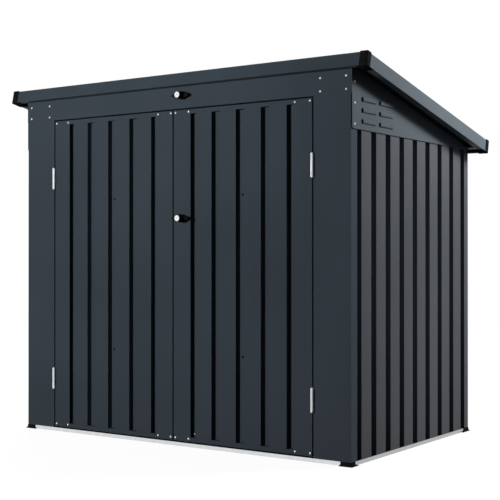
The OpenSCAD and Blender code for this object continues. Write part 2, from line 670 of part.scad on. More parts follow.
// The brace stops short of the pivot rod
module roof_brace() color("gainsboro") stand() on_roof() translate([0, sheet_t, 0]) rotate([90, 0, 0])
    translate([0, 0, eye_d + roof_rear - roof_l]) linear_extrude(roof_l - eye_d - roof_rear)
        folded([[-roof_brace_w / 2, -brace_top], [-roof_brace_w / 2, -brace_top - roof_brace_d],
            [roof_brace_w / 2, -brace_top - roof_brace_d], [roof_brace_w / 2, -brace_top]], sheet_t);

// ---- Lid pivot ----
module lid_pivot_rod() color("silver") stand() translate([0, pivot_y, pivot_z])
    along_x(sheet_t - roof_half_w, roof_half_w - sheet_t) circle(d = pivot_d);
module pivot_bracket() difference() {
    union() {
        along_x(-bracket_w / 2, bracket_w / 2)
            translate([cabinet_d, pivot_z - bracket_h]) square([bracket_t, bracket_h]);
        along_x(-bracket_w / 2, bracket_w / 2)
            translate([cabinet_d, pivot_z - bracket_arm_t / 2]) square([pivot_out, bracket_arm_t]);
        translate([0, pivot_y, pivot_z]) along_x(-bracket_w / 2, bracket_w / 2) circle(d = eye_d);
    }
    translate([0, pivot_y, pivot_z]) along_x(-bracket_w, bracket_w) circle(d = pivot_d + 2 * fit);
}
// The brackets stand behind the rear wall's ribs, the second from the middle and the last but one
module lid_pivot_brackets() color("gainsboro") stand() mirrored_pair()
    for (rib = [1, rear_sheet_ribs - 2]) translate([(rib + 0.5) * wall_pitch, 0, 0]) pivot_bracket();

base_rail_front();
base_rail_rear();
base_rails_side();
base_feet();
corner_post_front_left();
corner_post_front_right();
corner_post_rear_left();
corner_post_rear_right();
header_panel();
rear_top_rail();
wall_studs();
side_sheet_left_front();
side_sheet_left_rear();
side_sheet_right_front();
side_sheet_right_rear();
rear_sheet_left();
rear_sheet_right();
gable_left();
gable_right();
post_hinges();
lid_pivot_brackets();
door_left_stiles();
door_left_rails();
door_left_sheet();
door_left_braces();
door_left_hinges();
door_right_stiles();
door_right_rails();
door_right_sheet();
door_right_braces();
door_right_hinges();
door_lock_grip();
door_lock_cylinder();
door_lock_cam();
lid_lock_grip();
lid_lock_cylinder();
lid_lock_cam();
lid_lock_keeper();
roof_rail_front();
roof_rail_rear();
roof_rails_side();
roof_caps();
roof_sheet_left();
roof_sheet_right();
roof_brace();
lid_pivot_rod();
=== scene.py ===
"""Finishes, small metalwork and studio of a metal bin store with a pent roof that lifts as a lid.

The cabinet, doors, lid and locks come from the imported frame, in metres: +Z up, doors facing -Y.
Rivets, screws, hinge pins, lock nuts and the softened plastic mouldings are modelled here.
"""

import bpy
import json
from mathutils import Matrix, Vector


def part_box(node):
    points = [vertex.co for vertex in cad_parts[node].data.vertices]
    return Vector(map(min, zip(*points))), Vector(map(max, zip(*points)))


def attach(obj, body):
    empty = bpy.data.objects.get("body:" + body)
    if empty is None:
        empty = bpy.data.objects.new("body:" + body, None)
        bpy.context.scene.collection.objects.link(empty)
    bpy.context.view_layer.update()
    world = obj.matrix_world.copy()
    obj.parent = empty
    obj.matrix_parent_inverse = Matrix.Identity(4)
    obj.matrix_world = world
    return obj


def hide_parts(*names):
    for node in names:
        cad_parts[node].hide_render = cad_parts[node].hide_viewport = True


bl_info = {
    "name": "Metal Bin Store",
    "version": (1, 0, 0),
    "blender": (4, 5, 0),
    "location": "3D View > Sidebar > Bin Store",
    "description": "Paint, zinc and plastic finishes, rivets, hinge and lock details, and a studio",
    "category": "Object",
}

import json
import math

import bmesh
import bpy
from mathutils import Matrix, Vector

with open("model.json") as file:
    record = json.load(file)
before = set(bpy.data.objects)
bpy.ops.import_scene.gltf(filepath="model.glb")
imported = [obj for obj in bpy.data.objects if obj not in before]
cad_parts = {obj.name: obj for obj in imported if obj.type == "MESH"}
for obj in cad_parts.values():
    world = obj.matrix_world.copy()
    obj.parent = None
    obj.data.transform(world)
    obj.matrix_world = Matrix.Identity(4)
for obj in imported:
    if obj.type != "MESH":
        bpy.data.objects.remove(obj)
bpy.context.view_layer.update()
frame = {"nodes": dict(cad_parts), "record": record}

MM = 0.001
UP, DOWN = Vector((0, 0, 1)), Vector((0, 0, -1))
LEFT, RIGHT = Vector((-1, 0, 0)), Vector((1, 0, 0))
FRONT, REAR = Vector((0, -1, 0)), Vector((0, 1, 0))

# Thickness of the pressed sheet
SHEET = 1 * MM
# How far the gable plates' faces stand off the posts' sides
GABLE_PROUD = 4 * MM
# Rivets down the front edge of a gable
GABLE_RIVETS = 3
# Height of the flat rivets between the leaves of a closed hinge
LEAF_RIVET_HEIGHT = 0.5 * MM
# Radius of a lock grip's round foot
GRIP_FOOT = 13 * MM
# Black plastic nodes that get rounded edges, with the bodies they ride on
MOULDINGS = {
    "roof_caps": "lid",
    "base_feet": "cabinet",
    "door_lock_grip": "door_right",
    "lid_lock_grip": "cabinet",
}
# Distance below which two corners of a moulding are one
WELD = 0.01 * MM
# Faces of a moulding that meet at less than this are one face
FLAT_ANGLE = math.radians(1)
# Edges of a moulding that turn by more than this are rounded
SHARP_ANGLE = math.radians(40)
# Faces of a small piece that meet at less than this are shaded as one round
ROUND_ANGLE = math.radians(35)
# Sides of the small turned pieces
RIVET_SIDES = 20
SCREW_SIDES = 24
WASHER_SIDES = 32
NUT_SIDES = 6
# Painted shade: the side base rails' zinc made darker than that of the front and rear ones, though it is the
# same zinc
SIDE_BASE_SHADE = 0.65
# Tone of zinc on the faces that look up: painted shade that darkens them
UPWARD_SHADE_TONE = 0.12

# The camera's sensor width in millimetres, and the distances between which it sees, in metres
SENSOR_WIDTH = 36
CLIP_START, CLIP_END = 0.05, 100
# The floor's breadth in metres and its grey, and its glow, which rises from the store outwards to plain white
FLOOR_BREADTH = 40
FLOOR_GREY = (0.06, 0.06, 0.06, 1)
FLOOR_ROUGHNESS = 0.9
GLOW = {"From Min": 1.2, "From Max": 3.0, "To Min": 0.95, "To Max": 1.0}
WHITE = (1, 1, 1, 1)
# The lamps' places and targets in metres, diameters in metres and beams in degrees. The right and the front
# have a wide lamp each, with a narrower one from the same place that is aimed over the roof.
BEHIND_RIGHT = (2.494, 1.655, 2.082)
FRONT_LEFT = (-0.8, -3.4, 1.15)
LAMPS = {
    "side_light": {"size": 1.0, "place": BEHIND_RIGHT, "target": (0.715, 0, 0)},
    "side_top_light": {"size": 0.73, "place": BEHIND_RIGHT, "target": (0.715, 0.753, 3.593), "beam": 133.8},
    "side_fill": {"size": 0.5, "place": (3.0, -1.5, 0.9), "target": (0.715, 0.05, 0.62), "beam": 28,
                  "colour": (0.75, 0.87, 1.0)},
    "front_light": {"size": 0.6, "place": FRONT_LEFT, "target": (0, -0.45, 0.65)},
    "front_top_light": {"size": 0.6, "place": FRONT_LEFT, "target": (0.06, -0.45, 2.2), "beam": 55},
    "left_light": {"size": 1.0, "place": (-2.7, 1.6, 1.9), "target": (-0.6, 0.3, 0.6)},
}


# ---- Places read from the frame ----
def low(node):
    """The left, front, lower corner of a node's box."""
    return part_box(node)[0]


def high(node):
    """The right, rear, upper corner of a node's box."""
    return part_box(node)[1]


def slot_of(node):
    """The record's material slot for a CAD node."""
    for part in frame["record"]["subparts"]:
        if part["node"] == node:
            return part["material_slot"]
    raise RuntimeError("the record has no slot for " + node)


def joint_place(name):
    """Where a joint's axis passes, in the row frame."""
    for joint in frame["record"]["behaviour"]["joints"]:
        if joint["name"] == name:
            return Vector(joint["pos_m"])
    raise RuntimeError("the record has no joint " + name)


# ---- Modelling helpers ----
def deselect():
    """Leaves edit mode and selects nothing."""
    if bpy.context.object and bpy.context.object.mode != "OBJECT":
        bpy.ops.object.mode_set(mode="OBJECT")
    bpy.ops.object.select_all(action="DESELECT")


def only(piece):
    """Selects one piece and nothing else."""
    deselect()
    piece.select_set(True)
    bpy.context.view_layer.objects.active = piece


def edit(piece):
    only(piece)
    bpy.ops.object.mode_set(mode="EDIT")


def pick(piece, kind, test):
    """Selects, in edit mode, the faces, edges or verts of a piece that pass a test."""
    bpy.ops.mesh.select_mode(type={"faces": "FACE", "edges": "EDGE", "verts": "VERT"}[kind])
    bpy.ops.mesh.select_all(action="DESELECT")
    shape = bmesh.from_edit_mesh(piece.data)
    chosen = [item for item in getattr(shape, kind) if test(item)]
    for item in chosen:
        item.select_set(True)
    shape.select_flush_mode()
    bmesh.update_edit_mesh(piece.data)
    if not chosen:
        raise RuntimeError("nothing to shape on " + piece.name)


def facing(direction, least=0.99):
    """A test for faces that look in a direction."""
    return lambda face: face.normal.dot(direction) > least


def settle(piece):
    """Puts a piece's place into its mesh."""
    only(piece)
    bpy.ops.object.transform_apply(location=True, rotation=True, scale=True)


def copies(pattern, places):
    """Copies a pattern that stands on z = 0 to (point, outward direction) places, as one piece."""
    made = []
    for point, direction in places:
        only(pattern)
        bpy.ops.object.duplicate(linked=False)
        copy = bpy.context.object
        turn = UP.rotation_difference(direction).to_matrix().to_4x4()
        copy.matrix_world = Matrix.Translation(point) @ turn
        settle(copy)
        made.append(copy)
    deselect()
    for copy in made:
        copy.select_set(True)
    bpy.context.view_layer.objects.active = made[0]
    if len(made) > 1:
        bpy.ops.object.join()
    piece = bpy.context.object
    bpy.data.objects.remove(pattern)
    return piece


def finish(piece, name, body, slot):
    """Names a piece, smooths its round faces, gives it its finish and lets it ride on its body."""
    only(piece)
    piece.name = name
    piece.data.name = name
    bpy.ops.object.shade_smooth_by_angle(angle=ROUND_ANGLE)
    piece.data.materials.clear()
    piece.data.materials.append(finish_for(slot))
    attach(piece, body)
    return piece


# ---- Finishes ----
class Nodes:
    """Short hand for building a node tree from its sockets."""

    def __init__(self, name):
        self.material = bpy.data.materials.new(name)
        self.material.use_nodes = True
        self.tree = self.material.node_tree
        self.shader = self.tree.nodes["Principled BSDF"]
        self.place = self.add("ShaderNodeTexCoord").outputs["Object"]

    def add(self, kind, inputs=None, **settings):
        node = self.tree.nodes.new(kind)
        for key, value in settings.items():
            setattr(node, key, value)
        for key, value in (inputs or {}).items():
            if isinstance(value, bpy.types.NodeSocket):
                self.tree.links.new(value, node.inputs[key])
            else:
                node.inputs[key].default_value = value
        return node

    def link(self, output, socket):
        self.tree.links.new(output, self.shader.inputs[socket])

    def stretched(self, scale):
        return self.add("ShaderNodeMapping", {"Vector": self.place, "Scale": scale}).outputs["Vector"]

    def noise(self, scale, detail=2.0, vector=None):
        inputs = {"Vector": vector or self.place, "Scale": scale, "Detail": detail}
        return self.add("ShaderNodeTexNoise", inputs).outputs["Fac"]

    def between(self, value, least, most, start=0.35, end=0.65):
        inputs = {"Value": value, "From Min": start, "From Max": end, "To Min": least, "To Max": most}
        return self.add("ShaderNodeMapRange", inputs).outputs["Result"]

    def blend(self, factor, first, second):
        node = self.add("ShaderNodeMix", data_type="RGBA")
        self.tree.links.new(factor, node.inputs["Factor"])
        for socket, value in ((node.inputs[6], first), (node.inputs[7], second)):
            if isinstance(value, bpy.types.NodeSocket):
                self.tree.links.new(value, socket)
            else:
                socket.default_value = (*value, 1)
        return node.outputs[2]

    def tones(self, factor, colour, dark, light):
        return self.blend(factor, shade(colour, dark), shade(colour, light))

    def soft_edges(self, radius):
        return self.add("ShaderNodeBevel", {"Radius": radius}, samples=4).outputs["Normal"]

    def bump(self, height, strength, distance, normal):
        inputs = {"Height": height, "Strength": strength, "Distance": distance, "Normal": normal}
        return self.add("ShaderNodeBump", inputs).outputs["Normal"]

    def plain(self, **values):
        for key, value in values.items():
            self.shader.inputs[key.replace("_", " ")].default_value = value


def shade(colour, factor):
    """A colour made darker or lighter."""
    return tuple(min(1.0, channel * factor) for channel in colour)


def paint(name, colour):
    """Powder-coated steel: an even colour with a fine orange peel and softly rounded folds."""
    roughness = bpy.context.scene.bin_store_finishes.paint_roughness
    n = Nodes(name)
    cloud = n.between(n.noise(scale=2.3, detail=3), 0, 1)
    n.link(n.tones(cloud, colour, dark=0.94, light=1.06), "Base Color")
    n.link(n.between(n.noise(scale=7, detail=3), roughness - 0.03, roughness + 0.04), "Roughness")
    peel = n.noise(scale=420)
    n.link(n.bump(peel, strength=0.05, distance=0.4 * MM, normal=n.soft_edges(1.6 * MM)), "Normal")
    n.plain(Specular_IOR_Level=0.02)
    return n.material


def galvanised(name, colour, tone=1.0):
    """Hot-dip zinc with its pattern of crystals, and painted shade that darkens the faces that look up."""
    colour = shade(colour, tone)
    n = Nodes(name)
    warped = n.add("ShaderNodeVectorMath", {0: n.place}, operation="ADD")
    drift = n.add("ShaderNodeTexNoise", {"Vector": n.place, "Scale": 60.0, "Detail": 1.0})
    scaled = n.add("ShaderNodeVectorMath", {0: drift.outputs["Color"]}, operation="SCALE")
    scaled.inputs["Scale"].default_value = 6 * MM
    n.tree.links.new(scaled.outputs["Vector"], warped.inputs[1])
    crystals = n.add("ShaderNodeTexVoronoi", {"Vector": warped.outputs["Vector"], "Scale": 110.0})
    crystal = n.add("ShaderNodeSeparateColor", {"Color": crystals.outputs["Color"]}).outputs["Red"]
    coat = n.tones(crystal, colour, dark=0.95, light=1.05)
    upward = n.add("ShaderNodeSeparateXYZ", {"Vector": n.add("ShaderNodeNewGeometry").outputs["True Normal"]})
    # Painted shade: faces that look up are darkened towards a small share of the zinc's colour
    upward_shade = n.between(upward.outputs["Z"], 0, 1, start=0.5, end=0.9)
    n.link(n.blend(upward_shade, coat, shade(colour, UPWARD_SHADE_TONE)), "Base Color")
    n.link(n.between(crystal, 0.38, 0.5, start=0, end=1), "Roughness")
    n.link(n.bump(crystal, strength=0.03, distance=0.2 * MM, normal=n.soft_edges(1 * MM)), "Normal")
    n.plain(Metallic=1.0)
    return n.material


def plated(name, colour, roughness, metallic, grain, gloss):
    """Zinc or chrome plate over a finely drawn surface."""
    n = Nodes(name)
    drawn = n.noise(scale=40, detail=3, vector=n.stretched((60, 60, 4)))
    n.link(n.tones(n.between(drawn, 0, 1), colour, dark=0.9, light=1.05), "Base Color")
    n.link(n.between(n.noise(scale=300), roughness - 0.04, roughness + 0.08), "Roughness")
    n.link(n.bump(drawn, strength=grain, distance=0.2 * MM, normal=n.soft_edges(0.5 * MM)), "Normal")
    n.plain(Metallic=metallic, Specular_IOR_Level=gloss)
    return n.material


def plastic(name, colour):
    """Moulded plastic with a fine leathered grain."""
    n = Nodes(name)
    grain = n.noise(scale=1400)
    n.link(n.tones(n.between(n.noise(scale=30), 0, 1), colour, dark=0.85, light=1.15), "Base Color")
    n.link(n.between(grain, 0.45, 0.58), "Roughness")
    n.link(n.bump(grain, strength=0.15, distance=0.2 * MM, normal=n.soft_edges(0.8 * MM)), "Normal")
    n.plain(Specular_IOR_Level=0.0)
    return n.material


# How each record slot, and each coat below, is made: maker, colour property and settings
COATS = {
    "anthracite_front": (paint, "front_paint", {}),
    "anthracite_walls": (paint, "wall_paint", {}),
    "anthracite_roof": (paint, "roof_paint", {}),
    # Painted light: a lighter copy of the roof paint for the roof's side rails, standing in for the side
    # lamps' light
    "side_rails": (paint, "lit_side_rail_paint", {}),
    # Partly painted light: the gables' paint is bluer like the roof's, and lighter than the walls' paint to
    # stand in for light
    "gables": (paint, "lit_gable_paint", {}),
    "galvanised": (galvanised, "galvanised", {}),
    # Painted shade: the base rails' zinc, darkened on the side rails
    "side_base": (galvanised, "galvanised", {"tone": SIDE_BASE_SHADE}),
    "zinc_hardware": (plated, "zinc", {"roughness": 0.3, "metallic": 0.2, "grain": 0.04, "gloss": 0.5}),
    "hinges": (plated, "hinges", {"roughness": 0.4, "metallic": 0.04, "grain": 0.04, "gloss": 0.1}),
    "chrome_cylinder": (plated, "chrome", {"roughness": 0.16, "metallic": 1.0, "grain": 0.01, "gloss": 0.5}),
    "black_plastic": (plastic, "plastic", {}),
}
# Nodes whose coat differs a little from that of their slot; on the roof's side rails, the gables and the side
# base rails the difference is painted light and shade
OWN_COATS = {
    "roof_rails_side": "side_rails",
    "gable_left": "gables",
    "gable_right": "gables",
    "base_rails_side": "side_base",
    "post_hinges": "hinges",
    "door_left_hinges": "hinges",
    "door_right_hinges": "hinges",
}


def finish_for(coat):
    """The material of a record slot, or of a node with a coat of its own, made once."""
    name = "finish_" + coat
    made = bpy.data.materials.get(name)
    if made:
        return made
    if coat not in COATS:
        raise RuntimeError("no finish is made for the slot " + coat)
    maker, colour, settings = COATS[coat]
    return maker(name, tuple(getattr(bpy.context.scene.bin_store_finishes, colour)), **settings)


def colour_property(name, description, default):
    return bpy.props.FloatVectorProperty(name=name, description=description, default=default, size=3,
                                         min=0, max=1, subtype="COLOR")


def length_property(name, description, default):
    return bpy.props.FloatProperty(name=name, description=description, default=default,
                                   min=0, unit="LENGTH", subtype="DISTANCE", precision=4)


def power_property(name, description, default):
    return bpy.props.FloatProperty(name=name, description=description, default=default,
                                   min=0, max=2000, subtype="POWER")


class BinStoreFinishes(bpy.types.PropertyGroup):
    """Colours and sheen of the store's finishes"""

    front_paint: colour_property("Front paint", "Paint of the doors, front posts and header",
                                 (0.031, 0.039, 0.048))
    # Partly painted light: lighter than the front paint, partly to stand in for the brighter light on the
    # right side
    wall_paint: colour_property("Wall paint", "Paint of the side and rear walls and rear posts",
                                (0.0500, 0.0535, 0.0600))
    roof_paint: colour_property("Roof paint", "Paint of the roof sheets and its front and rear rails",
                                (0.0305, 0.0405, 0.0485))
    # Painted light: the roof's paint made lighter on its side rails, standing in for the side lamps' light
    lit_side_rail_paint: colour_property("Side rail paint", "Paint of the roof's side rails",
                                     (0.0595, 0.0705, 0.0785))
    # Partly painted light: bluer like the roof, and made lighter than the wall paint to stand in for light on
    # the gables
    lit_gable_paint: colour_property("Gable paint", "Paint of the two louvred gables",
                                 (0.0505, 0.0590, 0.0672))
    galvanised: colour_property("Galvanised steel", "Zinc of the base rails, studs and braces",
                                (0.69, 0.70, 0.71))
    zinc: colour_property("Zinc plate", "Plating of rivets, brackets and cams", (0.84, 0.85, 0.86))
    hinges: colour_property("Hinge plate", "Matt zinc of the hinges", (0.76, 0.77, 0.79))
    chrome: colour_property("Chrome", "Plating of the key cylinders", (0.88, 0.88, 0.89))
    plastic: colour_property("Black plastic", "Feet, roof caps and lock grips", (0.0078, 0.0078, 0.0078))
    paint_roughness: bpy.props.FloatProperty(name="Paint roughness", description="Sheen of the paint",
                                             default=0.42, min=0.1, max=0.9, subtype="FACTOR")


class BinStoreMetalwork(bpy.types.PropertyGroup):
    """Sizes of the rivets, screws and nuts"""

    rivet_head: length_property("Rivet head", "Diameter of a rivet's head", 6.5 * MM)
    rivet_height: length_property("Rivet height", "Height of a rivet's head", 1.4 * MM)
    post_rivet_side: length_property("Outer post rivets", "Distance of the outer rivets from the side",
                                     17.4 * MM)
    post_rivet_inner: length_property("Inner post rivets", "Distance of the inner rivets from the side",
                                      112.9 * MM)
    post_rivet_low: length_property("Lower post rivets", "Height of the lower ones above the header's foot",
                                    13.1 * MM)
    post_rivet_high: length_property("Upper post rivets", "Height of the upper ones above the header's foot",
                                     55.8 * MM)
    door_rivet_edge: length_property("Outer door rivets", "Distance of the outer rivets from a door's edges",
                                     8 * MM)
    door_rivet_inner: length_property("Inner door rivets", "Distance of the inner rivets from a door's edges",
                                      66 * MM)
    door_rivet_low: length_property("Lower door rivets", "Height of the lower row above a door's foot",
                                    10.6 * MM)
    door_rivet_high: length_property("Upper door rivets", "Distance of the upper row below a door's top",
                                     8.4 * MM)
    gable_rivet_front: length_property("Gable rivets", "Distance of the gable rivets from the front face",
                                       17.5 * MM)
    gable_rivet_low: length_property("Lowest gable rivet", "Its height above the gable's lower edge",
                                     15.3 * MM)
    gable_rivet_pitch: length_property("Gable rivet pitch", "Distance from one gable rivet to the next",
                                       66.9 * MM)
    screw_head: length_property("Screw head", "Diameter of the screws that hold the door braces", 8 * MM)
    screw_low: length_property("Lower screws", "Their height above the foot of the lower braces", 15 * MM)
    screw_high: length_property("Upper screws", "Their distance below the top of the upper braces", 11.9 * MM)
    small_rivet: length_property("Small rivet", "Diameter of the rivet at the foot of the right door's sheet",
                                 5 * MM)
    small_rivet_in: length_property("Small rivet from edge", "Its distance from the door's free edge",
                                    80 * MM)
    small_rivet_low: length_property("Small rivet height", "Its height above the door's foot", 27 * MM)
    hinge_length: length_property("Hinge length", "Length of a hinge's barrel", 77.5 * MM)
    hinge_gap: length_property("Hinge gap", "Distance between the facing leaves of a closed hinge", 2 * MM)
    pin_head: length_property("Pin head", "Diameter of a hinge pin's heads", 7 * MM)
    leaf_rivet: length_property("Leaf rivet", "Diameter of the flat rivets in the hinge leaves", 6 * MM)
    leaf_rivet_in: length_property("Leaf rivets from front", "Their distance behind the front face",
                                   12.5 * MM)
    leaf_rivet_pitch: length_property("Leaf rivet pitch", "Distance from one leaf rivet to the next", 25 * MM)
    lock_nut: length_property("Lock nut", "Width across the flats of the nuts that hold the cams", 10 * MM)
    grip_reach: length_property("Grip reach", "Distance of a grip's right tip from its key cylinder's axis",
                                33 * MM)
    moulding_edge: length_property("Moulded edges", "Width of the rounded edges of caps, feet and grips",
                                   0.8 * MM)


class BinStoreStudio(bpy.types.PropertyGroup):
    """Camera and light"""

    camera_place: bpy.props.FloatVectorProperty(name="Camera", description="Where the camera stands",
                                                default=(2.46272, -3.53937, 0.66941), size=3,
                                                subtype="XYZ", unit="LENGTH")
    camera_turn: bpy.props.FloatProperty(name="Camera turn", description="Turn from facing the doors",
                                         default=math.radians(34.672), subtype="ANGLE")
    camera_tilt: bpy.props.FloatProperty(name="Camera tilt", description="Tilt above the horizon",
                                         default=math.radians(0.239), subtype="ANGLE")
    lens: bpy.props.FloatProperty(name="Lens", description="Focal length on a 36 mm sensor", default=80.76,
                                  min=10, max=300, subtype="DISTANCE_CAMERA")
    sky: bpy.props.FloatProperty(name="Room light", description="Strength of the light from all round",
                                 default=0.015, min=0, max=3)
    side_light: power_property("Side light", "Power of the soft light behind the right side", 170)
    side_top_light: power_property("Side top light", "Power of the light that brightens the right side's top",
                                   296)
    side_fill: power_property("Side fill", "Power of the weak beam into the right wall's grooves", 0.42)
    front_light: power_property("Front light", "Power of the soft light in front, on the left", 108)
    front_top_light: power_property("Front top light", "Power of the narrow beam over the doors", 5.6)
    left_light: power_property("Left light", "Power of the soft light behind the left side", 80)


# ---- Operators ----
class PieceOperator:
    """Runs build() and reports it as finished"""

    bl_options = {"REGISTER", "UNDO"}

    def execute(self, context):
        self.build(context.scene)
        deselect()
        return {"FINISHED"}


class BINSTORE_OT_finishes(PieceOperator, bpy.types.Operator):
    """Give every sheet, rail, hinge and lock its finish"""

    bl_idname = "bin_store.finishes"
    bl_label = "Finishes"

    def build(self, scene):
        for name, node in frame["nodes"].items():
            node.data.materials.clear()
            node.data.materials.append(finish_for(OWN_COATS.get(name) or slot_of(name)))


def disc(sides, radius, height, foot=0):
    """Adds an upright disc and opens it in edit mode, with its top face selected."""
    deselect()
    bpy.ops.mesh.primitive_cylinder_add(vertices=sides, radius=radius, depth=height,
                                        location=(0, 0, foot + height / 2))
    piece = bpy.context.object
    settle(piece)
    edit(piece)
    pick(piece, "faces", facing(UP))
    return piece


def pick_top(piece, sides):
    """Selects the flat face that a rounded edge has left on top."""
    pick(piece, "faces", lambda face: facing(UP)(face) and len(face.verts) == sides)


def lift(height):
    """Moves what is selected up, or down by a negative height."""
    bpy.ops.transform.translate(value=(0, 0, height))


def rivet_pattern(head, height):
    """A blind rivet's head on z = 0: a low dome with the recess that its stem leaves."""
    dome, recess = height * 0.75, height * 0.45
    brim, wall = head * 0.14, head * 0.02
    piece = disc(RIVET_SIDES, head / 2, height)
    bpy.ops.mesh.bevel(offset=dome, segments=3, affect="EDGES")
    pick_top(piece, RIVET_SIDES)
    bpy.ops.mesh.inset(thickness=brim)
    bpy.ops.mesh.inset(thickness=wall)
    lift(-recess)
    bpy.ops.object.mode_set(mode="OBJECT")
    return piece


def screw_pattern(head):
    """A pan-head screw with a conical recess, on z = 0."""
    height = head * 0.32
    dome, recess = height * 0.6, height * 0.5
    brim, centre = head * 0.16, head * 0.02
    piece = disc(SCREW_SIDES, head / 2, height)
    bpy.ops.mesh.bevel(offset=dome, segments=3, affect="EDGES")
    pick_top(piece, SCREW_SIDES)
    bpy.ops.mesh.inset(thickness=brim)
    bpy.ops.mesh.poke()
    pick(piece, "verts", lambda v: v.co.xy.length < centre and v.co.z > height / 2)
    lift(-recess)
    bpy.ops.object.mode_set(mode="OBJECT")
    return piece


def pin_head_pattern(across):
    """The domed end of a hinge pin, on z = 0."""
    height = across * 0.2
    dome = height * 0.85
    piece = disc(SCREW_SIDES, across / 2, height)
    bpy.ops.mesh.bevel(offset=dome, segments=4, affect="EDGES")
    bpy.ops.object.mode_set(mode="OBJECT")
    return piece


def nut_pattern(across):
    """A hexagon nut with a chamfered top and a sunk thread, on a round washer that stands on z = 0."""
    washer, height = across * 0.1, across * 0.45
    nut_radius, washer_radius, washer_edge = across / math.sqrt(3), across * 0.85, washer * 0.4
    chamfer, chamfer_rise = across * 0.06, height * 0.12
    rim, wall, thread = across * 0.16, across * 0.02, height * 0.3
    ring = disc(WASHER_SIDES, washer_radius, washer)
    bpy.ops.mesh.bevel(offset=washer_edge, segments=2, affect="EDGES")
    piece = disc(NUT_SIDES, nut_radius, height, foot=washer)
    bpy.ops.mesh.inset(thickness=chamfer)
    lift(chamfer_rise)
    bpy.ops.mesh.inset(thickness=rim)
    bpy.ops.mesh.inset(thickness=wall)
    lift(-thread)
    deselect()
    ring.select_set(True)
    piece.select_set(True)
    bpy.context.view_layer.objects.active = piece
    bpy.ops.object.join()
    return piece


class BINSTORE_OT_post_rivets(PieceOperator, bpy.types.Operator):
    """Rivet the header to the two front posts"""

    bl_idname = "bin_store.post_rivets"
    bl_label = "Header rivets"

    def build(self, scene):
        m = scene.bin_store_metalwork
        side = high("corner_post_front_right").x
        face = low("header_panel").y
        foot = header_foot()
        places = []
        for x in (m.post_rivet_side, m.post_rivet_inner):
            for z in (m.post_rivet_low, m.post_rivet_high):
                places += [(Vector((s * (side - x), face, foot + z)), FRONT) for s in (-1, 1)]
        piece = copies(rivet_pattern(m.rivet_head, m.rivet_height), places)
        finish(piece, "header_rivets", "cabinet", "zinc_hardware")


def header_foot():
    """Height of the header's lower edge, a door gap above the doors."""
    gap = low("door_right_stiles").z - high("base_feet").z
    return high("door_right_stiles").z + gap


class BINSTORE_OT_door_rivets(PieceOperator, bpy.types.Operator):
    """Rivet the corners of the two doors"""

    bl_idname = "bin_store.door_rivets"
    bl_label = "Door rivets"

    def build(self, scene):
        m = scene.bin_store_metalwork
        for side in ("left", "right"):
            node = "door_%s_stiles" % side
            lo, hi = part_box(node)
            columns = [lo.x + m.door_rivet_edge, lo.x + m.door_rivet_inner,
                       hi.x - m.door_rivet_inner, hi.x - m.door_rivet_edge]
            rows = [lo.z + m.door_rivet_low, hi.z - m.door_rivet_high]
            places = [(Vector((x, lo.y, z)), FRONT) for x in columns for z in rows]
            piece = copies(rivet_pattern(m.rivet_head, m.rivet_height), places)
            finish(piece, "door_%s_rivets" % side, "door_" + side, "zinc_hardware")


class BINSTORE_OT_gable_rivets(PieceOperator, bpy.types.Operator):
    """Rivet the gables to the front posts"""

    bl_idname = "bin_store.gable_rivets"
    bl_label = "Gable rivets"

    def build(self, scene):
        m = scene.bin_store_metalwork
        plate = high("corner_post_front_right").x + GABLE_PROUD
        face = low("header_panel").y
        foot = low("gable_right").z
        heights = [foot + m.gable_rivet_low + k * m.gable_rivet_pitch for k in range(GABLE_RIVETS)]
        places = [(Vector((side.x * plate, face + m.gable_rivet_front, z)), side)
                  for side in (LEFT, RIGHT) for z in heights]
        piece = copies(rivet_pattern(m.rivet_head, m.rivet_height), places)
        finish(piece, "gable_rivets", "cabinet", "zinc_hardware")


class BINSTORE_OT_brace_screws(PieceOperator, bpy.types.Operator):
    """Screw each door's sheet to its two braces"""

    bl_idname = "bin_store.brace_screws"
    bl_label = "Brace screws"

    def build(self, scene):
        m = scene.bin_store_metalwork
        for side in ("left", "right"):
            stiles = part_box("door_%s_stiles" % side)
            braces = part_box("door_%s_braces" % side)
            groove = high("door_%s_sheet" % side).y - SHEET
            across = (stiles[0].x + stiles[1].x) / 2
            heights = (braces[0].z + m.screw_low, braces[1].z - m.screw_high)
            places = [(Vector((across, groove, z)), FRONT) for z in heights]
            piece = copies(screw_pattern(m.screw_head), places)
            finish(piece, "door_%s_screws" % side, "door_" + side, "black_plastic")


class BINSTORE_OT_sheet_rivet(PieceOperator, bpy.types.Operator):
    """Rivet the foot of the right door's sheet to its lower rail"""

    bl_idname = "bin_store.sheet_rivet"
    bl_label = "Sheet rivet"

    def build(self, scene):
        m = scene.bin_store_metalwork
        stiles = low("door_right_stiles")
        groove = high("door_right_sheet").y - SHEET
        place = Vector((stiles.x + m.small_rivet_in, groove, stiles.z + m.small_rivet_low))
        piece = copies(rivet_pattern(m.small_rivet, m.rivet_height), [(place, FRONT)])
        finish(piece, "door_right_sheet_rivet", "door_right", "zinc_hardware")


